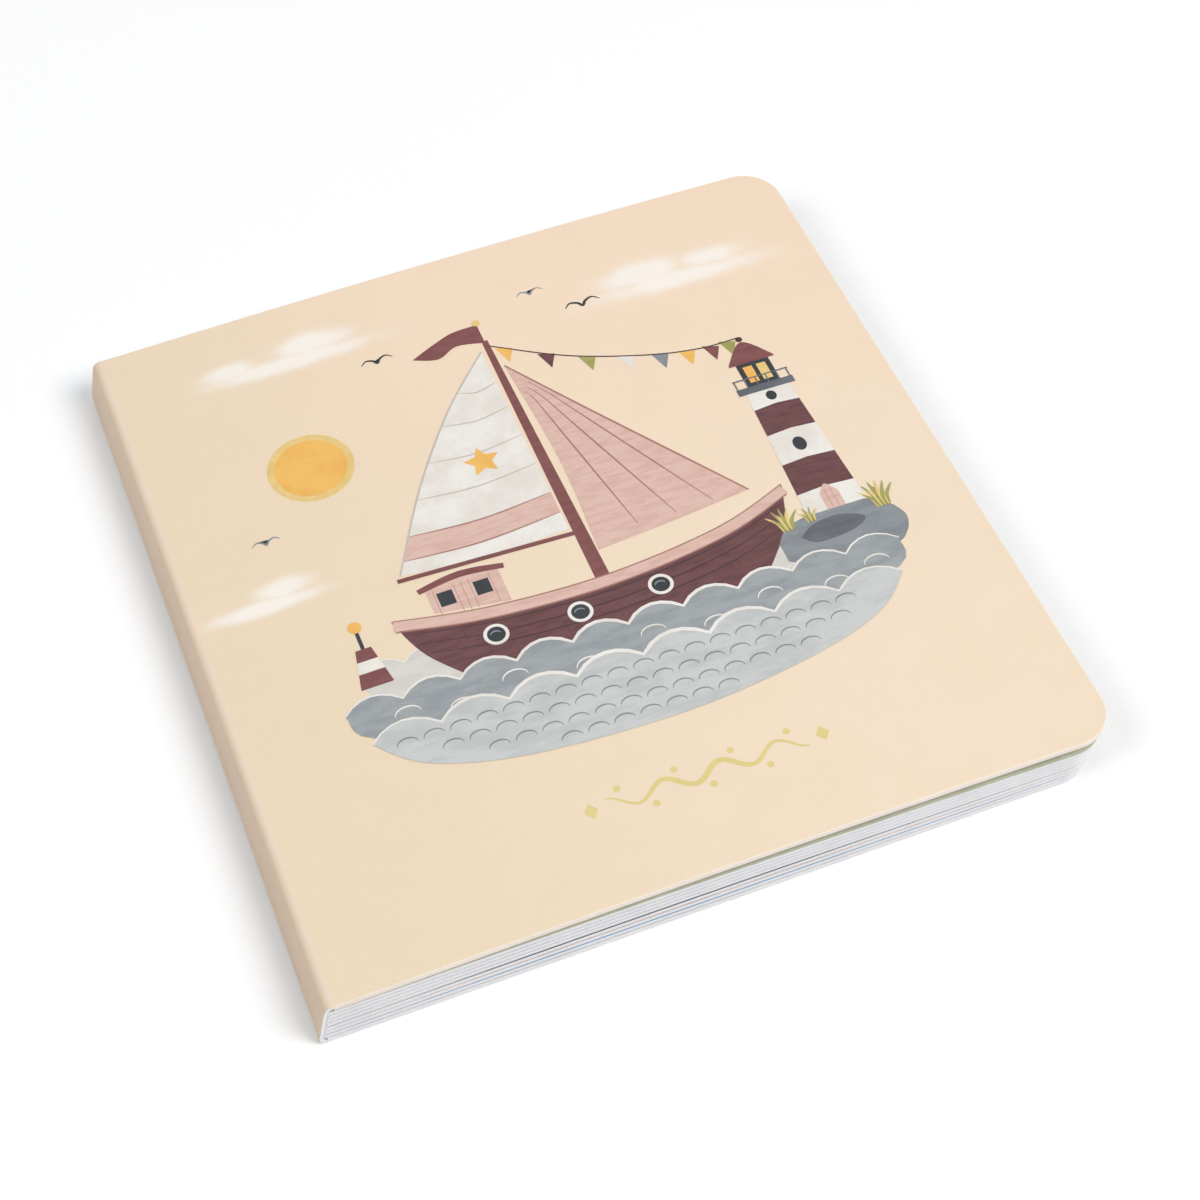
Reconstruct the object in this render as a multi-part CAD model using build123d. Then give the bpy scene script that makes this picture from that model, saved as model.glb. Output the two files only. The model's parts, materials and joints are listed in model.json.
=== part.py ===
"""Closed board book, lying on its back cover.

One folded card sheet makes the front cover, the spine and the back cover. Inside it, spreads
of card are folded once and glued back to back, so that each leaf is two halves of neighbouring
spreads. The outer halves of the first and last spread are pasted to the covers. The closed
book has slid a little out of square, so the spine leans and the leaves step back downwards.

The frame: +X runs from the spine to the fore edge, +Y from the tail to the head, +Z up. The
origin is the middle of the outline on the face that the book lies on. Lengths are in
millimetres, and leaves are counted from the back cover up, from 0.
"""
from build123d import *
from math import atan2, cos, degrees, radians, tan
import os

# Outline of the book: a cover from its sharp fold to the fore edge, and from tail to head
cover_width = 165.0
cover_height = 178.0
corner_radius = 9.0

# Card: the bare sheet at the spine, a cover with its pasted half spread, and a leaf
cover_sheet_thickness = 0.75
cover_board_thickness = 1.3
leaf_thickness = 0.92
spread_thickness = 0.46

# Stack of leaves in two groups, with the gaps between them at the folds and at the fore edge
leaf_count = 7
upper_leaf_count = 4
gap_at_spine = 0.32
gap_at_fore_edge = 0.12
group_gap_at_spine = 0.43
group_gap_at_fore_edge = 0.18
front_gap_at_spine = 0.25
front_gap_at_fore_edge = 2.06

# Spring of the card, the slide of the front cover towards the fore edge, and how much
# farther than the boards below it this cover reaches there
front_cover_bow = 1.0
upper_leaf_bow = 0.8
cover_slide = 2.6
front_cover_overhang = 0.5

# Folds and edges
upper_fold_radius = 2.2
lower_fold_radius = 1.5
upper_back_gap = 0.24
lower_back_gap = 0.12
fold_bulge = 0.2
glued_strip_width = 2.0
hinge_strip_width = 2.5
pressed_edge_radius = 0.25

lower_leaf_count = leaf_count - upper_leaf_count
top_leaf = leaf_count - 1


def is_upper(leaf):
    return leaf >= lower_leaf_count


def stacked_bottom(leaf, gap, group_gap):
    """Height of a leaf's lower face in a stack with these gaps."""
    height = cover_board_thickness + leaf * (leaf_thickness + gap) + gap
    if is_upper(leaf):
        height += group_gap - gap
    return height


def bottom_at_spine(leaf):
    return stacked_bottom(leaf, gap_at_spine, group_gap_at_spine)


def bottom_at_fore_edge(leaf):
    return stacked_bottom(leaf, gap_at_fore_edge, group_gap_at_fore_edge)


def leaf_bow(leaf):
    """The upper leaves share the full bow, and the lower ones flatten towards the back cover."""
    if is_upper(leaf):
        return upper_leaf_bow
    return upper_leaf_bow * (leaf + 1) / (lower_leaf_count + 1)


# Heights of the front cover's lower face, and of the closed book
front_bottom_at_spine = bottom_at_spine(top_leaf) + leaf_thickness + front_gap_at_spine
front_bottom_at_fore_edge = bottom_at_fore_edge(top_leaf) + leaf_thickness + front_gap_at_fore_edge
spine_height = front_bottom_at_spine + cover_board_thickness

# The leaning spine: each fold turns the sheet through its own angle, from a sharp corner
lean = degrees(atan2(cover_slide, spine_height))
upper_turn = 90 - lean
lower_turn = 90 + lean
lower_tangent = lower_fold_radius * tan(radians(lower_turn / 2))
upper_tangent = upper_fold_radius * tan(radians(upper_turn / 2))

# Places across the book, with the outline's middle at zero
outline_width = cover_width + cover_slide + lower_fold_radius - lower_tangent
spine_x = -outline_width / 2
back_hinge_x = spine_x + lower_fold_radius
lower_corner_x = back_hinge_x - lower_tangent
front_hinge_x = lower_corner_x + cover_slide + upper_tangent


def slid(height):
    """How far the slide has carried a layer at this height towards the fore edge."""
    return cover_slide * height / spine_height


def fore_x(height):
    """Where a layer below the front cover ends at this height."""
    return lower_corner_x + cover_width + slid(height) - front_cover_overhang


def leaf_fore_x(leaf):
    return fore_x(bottom_at_spine(leaf) + leaf_thickness / 2)


def back_x(leaf):
    """How far the folded backs beside this leaf reach towards the spine wall."""
    wall = cover_sheet_thickness / cos(radians(lean))
    back_gap = upper_back_gap if is_upper(leaf) else lower_back_gap
    return lower_corner_x + slid(bottom_at_spine(leaf) + leaf_thickness / 2) + wall + back_gap


def groove(leaf):
    """Where two spreads meet at the back of a leaf, in the middle of its thickness."""
    return (back_x(leaf) + fold_bulge, bottom_at_spine(leaf) + leaf_thickness / 2)


def level_then_bowed(start, level_width, end, bow):
    """A level strip and then one long shallow arc, bow above the straight line at its middle."""
    bow_start = (start[0] + level_width, start[1])
    middle = ((bow_start[0] + end[0]) / 2, (bow_start[1] + end[1]) / 2 + bow)
    return Line(start, bow_start) + ThreePointArc(bow_start, middle, end)


def bowed_section(lower_line, thickness):
    """The section between a line across the book and the same line one thickness higher."""
    upper_line = Pos(0, thickness) * lower_line
    spine_end = Line(lower_line @ 0, upper_line @ 0)
    fore_end = Line(lower_line @ 1, upper_line @ 1)
    return make_face(lower_line + fore_end + upper_line + spine_end)


def along_spine(section):
    """Draws a section in X and Z out over the full height of the book."""
    return extrude(Plane.XZ * section, cover_height / 2, both=True)


def die_cut(board, start_x, end_x):
    """Rounds the two corners of a board or leaf at the fore edge."""
    width = end_x - start_x
    outline = Pos(start_x + width / 2, 0) * Rectangle(width, cover_height)
    fore_corners = outline.vertices().group_by(Axis.X)[-1]
    outline = fillet(fore_corners, corner_radius)
    return board & extrude(outline, 2 * spine_height, both=True)


def soften_rim(cover, outer_side):
    """The die presses the free edges of the outer face round: head, fore edge and tail."""
    outer_face = cover.faces().sort_by(Axis.Z)[outer_side]
    hinge_edge = outer_face.edges().sort_by(Axis.X)[0]
    rim = [edge for edge in outer_face.edges() if edge != hinge_edge]
    return fillet(rim, pressed_edge_radius)


def make_front_cover():
    """Level beside its fold, so that it can fold right back, then bowed to the fore edge."""
    end_x = fore_x(spine_height) + front_cover_overhang
    start = (front_hinge_x, front_bottom_at_spine)
    end = (end_x, front_bottom_at_fore_edge)
    lower_line = level_then_bowed(start, hinge_strip_width, end, front_cover_bow)
    section = bowed_section(lower_line, cover_board_thickness)
    cover = die_cut(along_spine(section), front_hinge_x, end_x)
    return soften_rim(cover, outer_side=-1)


def make_back_cover():
    end_x = fore_x(0)
    width = end_x - back_hinge_x
    middle = (back_hinge_x + width / 2, cover_board_thickness / 2)
    section = Pos(*middle) * Rectangle(width, cover_board_thickness)
    cover = die_cut(along_spine(section), back_hinge_x, end_x)
    return soften_rim(cover, outer_side=0)


def wrap_line(inset):
    """The cover sheet's outer line round both folds and the spine, moved inwards by inset."""
    lower_centre = (back_hinge_x, lower_fold_radius)
    upper_centre = (front_hinge_x, spine_height - upper_fold_radius)
    lower_fold = CenterArc(lower_centre, lower_fold_radius - inset, 270 - lower_turn, lower_turn)
    upper_fold = CenterArc(upper_centre, upper_fold_radius - inset, 90, upper_turn)
    wall = Line(upper_fold @ 1, lower_fold @ 0)
    return upper_fold + wall + lower_fold


def make_spine():
    """The leaning spine wall with both folds, up to where the flat covers begin."""
    outer = wrap_line(0)
    inner = wrap_line(cover_sheet_thickness)
    upper_end = Line(outer @ 0, inner @ 0)
    lower_end = Line(outer @ 1, inner @ 1)
    return along_spine(make_face(outer + lower_end + inner + upper_end))


def make_leaf(leaf):
    """One leaf: level where it is glued behind its groove, then bowed down to the fore edge."""
    start_x = groove(leaf)[0] + fold_bulge / 2
    end_x = leaf_fore_x(leaf)
    start = (start_x, bottom_at_spine(leaf))
    end = (end_x, bottom_at_fore_edge(leaf))
    lower_line = level_then_bowed(start, glued_strip_width, end, leaf_bow(leaf))
    section = bowed_section(lower_line, leaf_thickness)
    return die_cut(along_spine(section), start_x, end_x)


def make_fold(leaf):
    """The folded back of the spread between this leaf and the one above, with its round bulge."""
    lower_groove = groove(leaf)
    upper_groove = groove(leaf + 1)
    inner_x = max(back_x(leaf), back_x(leaf + 1)) + spread_thickness
    bulge = SagittaArc(lower_groove, upper_groove, fold_bulge)
    inside = Polyline(lower_groove, (inner_x, lower_groove[1]), (inner_x, upper_groove[1]), upper_groove)
    return along_spine(make_face(bulge + inside))


def make_half_fold(leaf, face_height):
    """The back of a spread that goes on to a cover: half a bulge, up to the leaf's own face."""
    groove_x, groove_height = groove(leaf)
    outer_x = back_x(leaf)
    inner_x = outer_x + spread_thickness
    middle = (outer_x + fold_bulge / 4, (groove_height + face_height) / 2)
    bulge = ThreePointArc((groove_x, groove_height), middle, (outer_x, face_height))
    inside_corners = [(outer_x, face_height), (inner_x, face_height), (inner_x, groove_height)]
    inside = Polyline(*inside_corners, (groove_x, groove_height))
    return along_spine(make_face(bulge + inside))


def make_page_block():
    block = make_half_fold(0, bottom_at_spine(0))
    block += make_half_fold(top_leaf, bottom_at_spine(top_leaf) + leaf_thickness)
    block += [make_leaf(leaf) for leaf in range(leaf_count)]
    block += [make_fold(leaf) for leaf in range(top_leaf)]
    return block


subparts = {
    "front_cover": make_front_cover(),
    "back_cover": make_back_cover(),
    "spine": make_spine(),
    "page_block": make_page_block(),
}

os.makedirs("parts", exist_ok=True)
for name, shape in subparts.items():
    export_step(shape, f"parts/{name}.step")

print(f"closed book {outline_width:.2f} by {cover_height:.2f} mm, {spine_height:.2f} mm at the spine")
print(f"front hinge line at x {front_hinge_x:.3f}, z {spine_height:.3f} mm")
print(f"back hinge line at x {back_hinge_x:.3f}, z 0.000 mm")
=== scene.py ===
# %% [markdown]
# # A board book with a folded card cover
#
# The book is closed and lies on its back cover. One sheet of laminated card wraps the block of
# thick card leaves, and the whole stack has slid a little out of square, so the spine leans.
# The solids come from the frame. This lesson gives them their card, film, cut edges and print.
# Lengths are written in millimetres and turned to metres by one factor.

# %% The frame and the size that it starts with
import json
import math

import bpy
from mathutils import Matrix, Vector


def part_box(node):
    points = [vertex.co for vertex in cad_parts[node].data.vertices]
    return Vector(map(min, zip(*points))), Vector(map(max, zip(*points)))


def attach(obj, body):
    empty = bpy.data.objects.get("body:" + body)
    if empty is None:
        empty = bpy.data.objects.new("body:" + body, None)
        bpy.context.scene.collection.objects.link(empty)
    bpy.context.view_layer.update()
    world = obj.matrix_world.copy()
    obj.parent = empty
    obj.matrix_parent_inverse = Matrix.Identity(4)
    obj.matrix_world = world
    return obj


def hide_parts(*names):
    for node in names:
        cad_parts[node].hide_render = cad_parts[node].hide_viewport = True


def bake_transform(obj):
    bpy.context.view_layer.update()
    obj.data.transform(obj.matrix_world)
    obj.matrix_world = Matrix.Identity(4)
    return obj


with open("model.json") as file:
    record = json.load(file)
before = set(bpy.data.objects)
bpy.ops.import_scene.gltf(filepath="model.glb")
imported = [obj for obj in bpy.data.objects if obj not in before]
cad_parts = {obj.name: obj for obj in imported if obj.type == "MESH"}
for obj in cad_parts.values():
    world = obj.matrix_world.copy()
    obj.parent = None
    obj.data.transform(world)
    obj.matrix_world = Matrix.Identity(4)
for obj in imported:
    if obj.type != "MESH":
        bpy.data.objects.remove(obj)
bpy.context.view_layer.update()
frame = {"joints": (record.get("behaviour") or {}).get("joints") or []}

MM = 0.001

# %% [markdown]
# ## The book's own sizes
#
# The hinge lines and the ends of the covers are read from the frame, so the new pieces land on
# the solids. What a box can't tell, such as the bow of the front cover and the gaps between the
# leaves, is written here with the values that the solids were made with. Only the folded
# backs stand a little nearer to the sheet than those of the solids.

# %% Sizes read from the frame
back_low, back_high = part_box("back_cover")
hinge_points = {joint["name"]: Vector(joint["pos_m"]) for joint in frame["joints"]}
front_hinge = hinge_points["front_cover_hinge"]
back_hinge = hinge_points["back_cover_hinge"]
front_fore_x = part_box("front_cover")[1].x
back_fore_x = back_high.x
book_height = back_high.y - back_low.y
spine_height = front_hinge.z
print(f"book {book_height / MM:.1f} mm tall, {spine_height / MM:.2f} mm thick at the spine")

# %% Sizes of the card, the gaps and the folds
sheet_thickness = 0.75 * MM
cover_thickness = 1.3 * MM
leaf_thickness = 0.92 * MM
leaf_count = 7
upper_leaf_count = 4
lower_leaf_count = leaf_count - upper_leaf_count
gap_at_spine = 0.32 * MM
gap_at_fore_edge = 0.12 * MM
group_gap_at_spine = 0.43 * MM
group_gap_at_fore_edge = 0.18 * MM
front_gap_at_fore_edge = 2.06 * MM
front_cover_bow = 1.0 * MM
upper_leaf_bow = 0.8 * MM
cover_slide = 2.6 * MM
corner_radius = 9 * MM
upper_fold_radius = 2.2 * MM
lower_fold_radius = 1.5 * MM
upper_back_gap = 0.08 * MM
lower_back_gap = 0.05 * MM
fold_bulge = 0.2 * MM
glued_strip = 2.0 * MM
hinge_strip = 2.5 * MM
pressed_rim = 0.25 * MM
merge_distance = 0.002 * MM
crease_angle = math.radians(35)

lean = math.atan2(cover_slide, spine_height)
upper_turn = math.pi / 2 - lean
lower_turn = math.pi / 2 + lean
lower_corner_x = back_hinge.x - lower_fold_radius * math.tan(lower_turn / 2)


def slid(height):
    """How far the slide has carried a layer at this height towards the fore edge."""
    return cover_slide * height / spine_height


def is_upper(leaf):
    return leaf >= lower_leaf_count


def stacked_bottom(leaf, gap, group_gap):
    """Height of a leaf's lower face where the gaps have these sizes."""
    height = cover_thickness + leaf * (leaf_thickness + gap) + gap
    return height + group_gap - gap if is_upper(leaf) else height


def leaf_bottom_at_spine(leaf):
    return stacked_bottom(leaf, gap_at_spine, group_gap_at_spine)


def leaf_fore_x(leaf):
    """The leaves end as far from the spine as the back cover, each carried on by the slide."""
    return back_fore_x + slid(leaf_bottom_at_spine(leaf) + leaf_thickness / 2)


def groove(leaf):
    """Where two spreads meet behind a leaf, at half its thickness."""
    height = leaf_bottom_at_spine(leaf) + leaf_thickness / 2
    back_gap = upper_back_gap if is_upper(leaf) else lower_back_gap
    wall = sheet_thickness / math.cos(lean)
    return lower_corner_x + slid(height) + wall + back_gap + fold_bulge, height


def bowed(start, level_width, end, bow):
    """The height of a board's lower face at any x: a level strip and then a shallow bow."""
    bow_start = start[0] + level_width

    def height_at(x):
        share = max(0.0, (x - bow_start) / (end[0] - bow_start))
        return start[1] + (end[1] - start[1]) * share + 4 * bow * share * (1 - share)

    return height_at


top_leaf = leaf_count - 1
front_bottom_at_spine = spine_height - cover_thickness
front_bottom_at_fore_edge = (
    stacked_bottom(top_leaf, gap_at_fore_edge, group_gap_at_fore_edge)
    + leaf_thickness
    + front_gap_at_fore_edge
)
front_underside = bowed(
    (front_hinge.x, front_bottom_at_spine),
    hinge_strip,
    (front_fore_x, front_bottom_at_fore_edge),
    front_cover_bow,
)


def front_face(x):
    return front_underside(x) + cover_thickness


def leaf_underside(leaf):
    """The height function of one leaf's lower face."""
    start = (groove(leaf)[0] + fold_bulge / 2, leaf_bottom_at_spine(leaf))
    end = (leaf_fore_x(leaf), stacked_bottom(leaf, gap_at_fore_edge, group_gap_at_fore_edge))
    bow = upper_leaf_bow
    if not is_upper(leaf):
        bow = upper_leaf_bow * (leaf + 1) / (lower_leaf_count + 1)
    return bowed(start, glued_strip, end, bow)


print(f"spine leans {math.degrees(lean):.1f} degrees")

# %% [markdown]
# ## Colours and the material helper
#
# Colours are noted as they look on a screen, in sRGB hex, and one function turns them into the
# linear values that the shader counts with. One small function adds a node with its settings
# and its links. Patterns read Object coordinates: every piece sits at the origin, so a pattern
# runs on from one piece to the next, as ink does over a fold. A MapRange runs from 0 to 1 on
# either side where no other value is given.

# %% Colour and node helpers
MIX_FACTOR, MIX_A, MIX_B, MIX_COLOUR = 0, 6, 7, 2
OF_COLOURS = {"data_type": "RGBA"}
SMOOTH = {"interpolation_type": "SMOOTHSTEP"}


def linear(code):
    """An sRGB hex colour as linear red, green, blue and alpha."""
    channels = [int(code[place:place + 2], 16) / 255 for place in (0, 2, 4)]
    return [c / 12.92 if c <= 0.04045 else ((c + 0.055) / 1.055) ** 2.4 for c in channels] + [1.0]


def add_node(tree, kind, settings, inputs):
    """Adds a node; an input is a plain value, a node's first output or a given output."""
    node = tree.nodes.new("ShaderNode" + kind)
    for name, value in settings.items():
        setattr(node, name, value)
    for socket, value in inputs.items():
        if isinstance(value, bpy.types.Node):
            value = value.outputs[0]
        if isinstance(value, bpy.types.NodeSocket):
            tree.links.new(value, node.inputs[socket])
        else:
            node.inputs[socket].default_value = value
    return node


def start_material(name):
    """An empty material, its node tree, and Object coordinates in metres."""
    material = bpy.data.materials.new(name)
    material.use_nodes = True
    material.node_tree.nodes.clear()
    place = add_node(material.node_tree, "TexCoord", {}, {}).outputs["Object"]
    return material, material.node_tree, place


def mottled(tree, place, colour, other, feature, amount, stretch=(1, 1, 1), detail=4.0):
    """Runs a second colour through the first in soft patches of about the feature's size."""
    spread = add_node(tree, "Mapping", {}, {"Vector": place, "Scale": stretch})
    noise = add_node(
        tree, "TexNoise", {},
        {"Vector": spread, "Scale": 1 / feature, "Detail": detail, "Roughness": 0.6},
    )
    share = add_node(tree, "MapRange", SMOOTH, {0: noise, 1: 0.38, 2: 0.66, 4: amount})
    mixed = add_node(
        tree, "Mix", OF_COLOURS, {MIX_FACTOR: share, MIX_A: colour, MIX_B: other})
    return mixed.outputs[MIX_COLOUR]


print("helpers ready")

# %% [markdown]
# ## The printed and laminated surface
#
# The cover is offset-printed on coated board and sealed under a matt polypropylene film. The
# film gives a soft, even sheen with an IOR near 1.5, and the board's fibres press through it
# as a very fine grain, about 0.4 mm across. Under that lies a slow waviness from the glue,
# some 6 mm long. Every ink on the cover gets the same film, so only the colour changes.

# %% The film over any printed colour
film_roughness = 0.46


def seal_with_film(tree, place, colour):
    """Ends a printed material with the matt film: sheen, fine grain and slow waviness."""
    grain = add_node(
        tree, "TexNoise", {},
        {"Vector": place, "Scale": 1 / (0.4 * MM), "Detail": 3.0, "Roughness": 0.55},
    )
    waviness = add_node(
        tree, "TexNoise", {},
        {"Vector": place, "Scale": 1 / (6 * MM), "Detail": 1.0, "Roughness": 0.4},
    )
    wavy = add_node(
        tree, "Bump", {}, {"Strength": 0.5, "Distance": 0.03 * MM, "Height": waviness})
    grainy = add_node(
        tree, "Bump", {},
        {"Strength": 0.35, "Distance": 0.012 * MM, "Height": grain, "Normal": wavy},
    )
    gloss = add_node(
        tree, "MapRange", {},
        {0: waviness, 1: 0.3, 2: 0.7, 3: film_roughness - 0.04, 4: film_roughness + 0.05},
    )
    shader = add_node(
        tree, "BsdfPrincipled", {},
        {"Base Color": colour, "Roughness": gloss, "IOR": 1.5, "Sheen Weight": 0.04,
         "Sheen Roughness": 0.5, "Normal": grainy},
    )
    add_node(tree, "OutputMaterial", {}, {"Surface": shader})


def printed_ink(name, colour, shade, feature, amount, stretch):
    """An ink laid on by the press from a painted original, with soft brush patches in it."""
    material, tree, place = start_material(name)
    patches = mottled(tree, place, linear(colour), linear(shade), feature, amount, stretch)
    bristles = mottled(tree, place, patches, linear(shade), 0.7 * MM, amount * 0.3, stretch, 2.0)
    seal_with_film(tree, place, bristles)
    return material


# %% [markdown]
# ## The cover's ground: cream, with clouds and a worn fold
#
# The ground colour is cream with a hardly visible mottle. Painted shade makes it a little darker
# from the fore edge to the spine, and darker still on the spine wall, and it is pinker towards
# the head. The clouds have no outline, so they can't be
# shapes of ink: each is a few flattened ellipses whose edges are broken up by noise.
# Along the fold the film is stretched and the ink has cracked to a pale pink line, about 1 mm
# wide and a little uneven. It runs on over the spine piece, because both read the same x.

# %% The clouds
# Soft ellipses in millimetres: middle x, middle y, half length, half height
cloud_puffs = [
    (50, 62, 30, 4.2), (42, 66.5, 15, 5.6), (60, 66, 11, 4.4),
    (-40, 71, 27, 3.6), (-34, 75, 13, 5.0), (-54, 73.5, 9, 3.8),
    (-64, 6, 17, 3.0), (-60, 9.5, 9, 4.2),
]


def cloud_share(tree, place):
    """How much of a cloud's white lies at a place: the nearest puff, with a ragged edge."""
    wisps = add_node(
        tree, "TexNoise", {},
        {"Vector": place, "Scale": 1 / (9 * MM), "Detail": 6.0, "Roughness": 0.6},
    )
    cover = 0.0
    for middle_x, middle_y, half_length, half_height in cloud_puffs:
        centred = add_node(
            tree, "Mapping", {"vector_type": "TEXTURE"},
            {"Vector": place, "Location": (middle_x * MM, middle_y * MM, 0),
             "Scale": (half_length * MM, half_height * MM, 1)},
        )
        distance = add_node(tree, "VectorMath", {"operation": "LENGTH"}, {0: centred})
        puff = add_node(
            tree, "MapRange", SMOOTH, {0: distance.outputs["Value"], 1: 1.5, 2: 0.0})
        cover = add_node(tree, "Math", {"operation": "MAXIMUM"}, {0: cover, 1: puff})
    ragged = add_node(
        tree, "Math", {"operation": "MULTIPLY_ADD"}, {0: wisps, 1: 1.3, 2: -0.5})
    summed = add_node(tree, "Math", {"operation": "ADD"}, {0: cover, 1: ragged})
    inside = add_node(tree, "Math", {"operation": "MULTIPLY"}, {0: cover, 1: summed})
    return add_node(tree, "MapRange", SMOOTH, {0: inside, 2: 0.95, 4: 0.85})


# %% The worn line along the fold
crack_x = front_hinge.x - 0.25 * MM
crack_half_width = 0.75 * MM
crack_wander = 0.45 * MM


def crack_share(tree, place, axes):
    """How strongly the crack shows at a place: it wanders, and fades here and there."""
    wobble = add_node(
        tree, "TexNoise", {},
        {"Vector": place, "Scale": 1 / (5 * MM), "Detail": 4.0, "Roughness": 0.7},
    )
    uneven = add_node(
        tree, "Math", {"operation": "MULTIPLY_ADD"},
        {0: wobble, 1: 2 * crack_wander, 2: -crack_x - crack_wander},
    )
    offset = add_node(tree, "Math", {"operation": "ADD"}, {0: axes["X"], 1: uneven})
    aside = add_node(tree, "Math", {"operation": "ABSOLUTE"}, {0: offset})
    upward = add_node(
        tree, "MapRange", {},
        {0: axes["Z"], 1: spine_height - 1.0 * MM, 2: spine_height - 0.4 * MM, 4: 0.8},
    )
    here_and_there = add_node(tree, "MapRange", {}, {0: wobble, 1: 0.35, 2: 0.6, 3: 0.55})
    worn = add_node(tree, "Math", {"operation": "MULTIPLY"}, {0: upward, 1: here_and_there})
    return add_node(
        tree, "MapRange", SMOOTH,
        {0: aside, 1: crack_half_width, 2: crack_half_width * 0.15, 4: worn},
    )


# %% The ground of the cover
cream = "EEDAC1"
# Painted shade: the ground is painted a little darker towards the spine
spine_side_shade_cream = "E8D4B7"
cream_shade = "E4CDAF"
cream_fleck = "F1E2CB"
head_cream = "F1D8BE"
# Painted shade: the spine wall is painted darker than the cover, though it is the same print
spine_wall_shade_cream = "DDC1A5"
crack_pink = "EED4C6"
cloud_white = "F7F1EA"


def cream_ground(name, clouds):
    material, tree, place = start_material(name)
    axes = add_node(tree, "SeparateXYZ", {}, {0: place}).outputs
    below_fold, beside_fold, toward_spine, toward_head = [
        add_node(tree, "MapRange", SMOOTH, {0: axes[axis], 1: start, 2: end})
        for axis, start, end in (
            ("Z", spine_height, spine_height - 1.2 * MM),
            ("X", front_hinge.x + 0.6 * MM, front_hinge.x - 0.9 * MM),
            ("X", 60 * MM, -80 * MM),
            ("Y", -30 * MM, 85 * MM),
        )
    ]
    at_fore_side = add_node(tree, "MapRange", {}, {0: toward_spine, 1: 0.5, 3: 1.0, 4: 0.15})
    # on_spine marks the spine wall, whose colour there is painted shade
    head_share, on_spine = [
        add_node(tree, "Math", {"operation": "MULTIPLY"}, {0: first, 1: second})
        for first, second in ((toward_head, at_fore_side), (below_fold, beside_fold))
    ]
    colour = linear(cream)
    # Painted shade: the colour turns darker towards the spine, and darker still on the spine wall
    shades = [(toward_spine, spine_side_shade_cream), (head_share, head_cream), (on_spine, spine_wall_shade_cream)]
    for share, other in shades:
        colour = add_node(
            tree, "Mix", OF_COLOURS, {MIX_FACTOR: share, MIX_A: colour, MIX_B: linear(other)},
        ).outputs[MIX_COLOUR]
    colour = mottled(tree, place, colour, linear(cream_shade), 14 * MM, 0.14)
    colour = mottled(tree, place, colour, linear(cream_fleck), 1.1 * MM, 0.12)
    marks = [(cloud_share(tree, place), cloud_white)] if clouds else []
    marks.append((crack_share(tree, place, axes), crack_pink))
    for share, other in marks:
        colour = add_node(
            tree, "Mix", OF_COLOURS, {MIX_FACTOR: share, MIX_A: colour, MIX_B: linear(other)},
        ).outputs[MIX_COLOUR]
    seal_with_film(tree, place, colour)
    return material


cover_ground = cream_ground("Printed cream card, matt film, clouds", clouds=True)
plain_ground = cream_ground("Printed cream card, matt film", clouds=False)
print("ground of the cover:", cover_ground.name)

# %% [markdown]
# ## Cut card
#
# A guillotine or a die leaves the board's edge bare: white pulp pressed in layers. The layers
# are about 0.1 mm thick and run along the edge, so the noise is squeezed upwards. A leaf is two
# sheets glued face to face, and the glue line shows as a hair of grey at half its thickness.
# The line reads an attribute that is 0 at the leaf's lower face and 1 at its upper face.

# %% Cut edges and bare board
glue_grey = "A9A8AE"


def cut_card(name, white, grey, glue_line):
    material, tree, place = start_material(name)
    layers = mottled(tree, place, linear(white), linear(grey), 1.6 * MM, 0.55, (1, 1, 14), 5.0)
    colour = mottled(tree, place, layers, linear(grey), 9 * MM, 0.3)
    if glue_line:
        through_leaf = add_node(tree, "Attribute", {"attribute_name": "through_leaf"}, {})
        from_middle = add_node(
            tree, "Math", {"operation": "SUBTRACT"}, {0: through_leaf.outputs["Fac"], 1: 0.5})
        aside = add_node(tree, "Math", {"operation": "ABSOLUTE"}, {0: from_middle})
        line = add_node(tree, "MapRange", SMOOTH, {0: aside, 1: 0.07, 2: 0.02, 4: 0.35})
        colour = add_node(
            tree, "Mix", OF_COLOURS,
            {MIX_FACTOR: line, MIX_A: colour, MIX_B: linear(glue_grey)},
        ).outputs[MIX_COLOUR]
    squeezed = add_node(tree, "Mapping", {}, {"Vector": place, "Scale": (1, 1, 10)})
    fibres = add_node(
        tree, "TexNoise", {},
        {"Vector": squeezed, "Scale": 1 / (0.9 * MM), "Detail": 4.0, "Roughness": 0.6},
    )
    rough = add_node(
        tree, "Bump", {}, {"Strength": 0.35, "Distance": 0.03 * MM, "Height": fibres})
    shader = add_node(
        tree, "BsdfPrincipled", {},
        {"Base Color": colour, "Roughness": 0.85, "IOR": 1.45, "Normal": rough},
    )
    add_node(tree, "OutputMaterial", {}, {"Surface": shader})
    return material


cut_cover = cut_card("Die-cut cover board", "FBF0E6", "F0E3D7", glue_line=False)
cut_leaf = cut_card("Die-cut page card", "F7F7F9", "E9E9EE", glue_line=True)
bare_board = cut_card("Bare inner side of the board", "E4E1DC", "D3D0CB", glue_line=False)
print("cut card:", cut_cover.name, "and", cut_leaf.name)

# %% [markdown]
# ## The printed pages
#
# The pages inside are washed with one soft colour each, which shows as a hair of colour in the
# gaps at the edge of the block. As painted light, the wash thins out to white towards the spine,
# where the shade between the leaves would make the gaps dark; the slate one thins out towards
# the fore edge too.

# %% The printed pages, by the gap that they face
page_white = "EFEFEE"


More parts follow.
